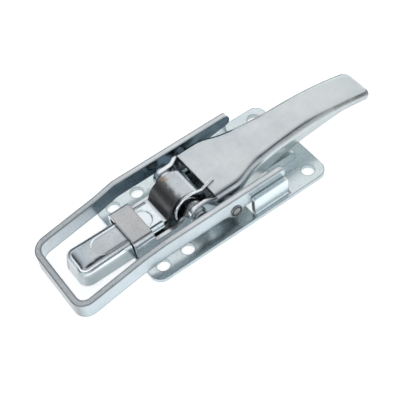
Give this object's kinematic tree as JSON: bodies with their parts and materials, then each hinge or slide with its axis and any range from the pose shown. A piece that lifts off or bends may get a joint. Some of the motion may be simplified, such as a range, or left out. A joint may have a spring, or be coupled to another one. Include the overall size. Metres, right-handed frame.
{
  "type": "over centre toggle latch",
  "caption": "Heavy pressed-steel over-centre toggle latch: a lever on a bolt-down plate draws a flat-bar bail tight and slides a tongue under a strap.",
  "frame": {"origin": "centre of the base plate and of its four outer bolt holes, on the plate's underside", "axes": "+X along the latch from the bail's loop towards the handle's tip, +Y across the latch, +Z out of the mounting surface"},
  "size_m": [0.1937, 0.06, 0.0226],
  "materials": {
    "plated_sheet": "bright zinc plated pressing",
    "plated_bar": "bright zinc plated flat bar",
    "plated_pin": "zinc plated turned steel",
    "spring_wire": "bright spring wire"
  },
  "bodies": {
    "base": {"base_plate": "plated_sheet", "guide_bracket": "plated_sheet"},
    "lever": {"handle": "plated_sheet", "spindle": "plated_pin", "eccentric": "plated_pin", "spacer_washer_left": "plated_pin", "spacer_washer_right": "plated_pin", "pivot_washer_left": "plated_pin", "pivot_washer_right": "plated_pin", "return_spring": "spring_wire", "bail_pin_left": "plated_pin", "bail_pin_right": "plated_pin", "bail_spacer_left": "plated_pin", "bail_spacer_right": "plated_pin"},
    "loop": {"bail": "plated_bar"},
    "slider": {"tongue": "plated_sheet"}
  },
  "joints": [
    {"name": "handle_swing", "type": "hinge", "parent": "base", "child": "lever", "pos_m": [-0.018, 0, 0.0126], "axis": [0, -1, 0], "range_deg": [0, 130]},
    {"name": "bail_follow", "type": "hinge", "parent": "lever", "child": "loop", "pos_m": [-0.0017, 0, 0.011], "axis": [0, 1, 0], "range_deg": [0, 131]},
    {"name": "tongue_slide", "type": "slide", "parent": "base", "child": "slider", "axis": [1, 0, 0], "range_m": [0, 0.0047]}
  ],
  "couplings": [
    {"joint": "bail_follow", "follows": "handle_swing", "ratio": 1},
    {"joint": "tongue_slide", "follows": "handle_swing", "m_per_rad": 0.002046}
  ]
}
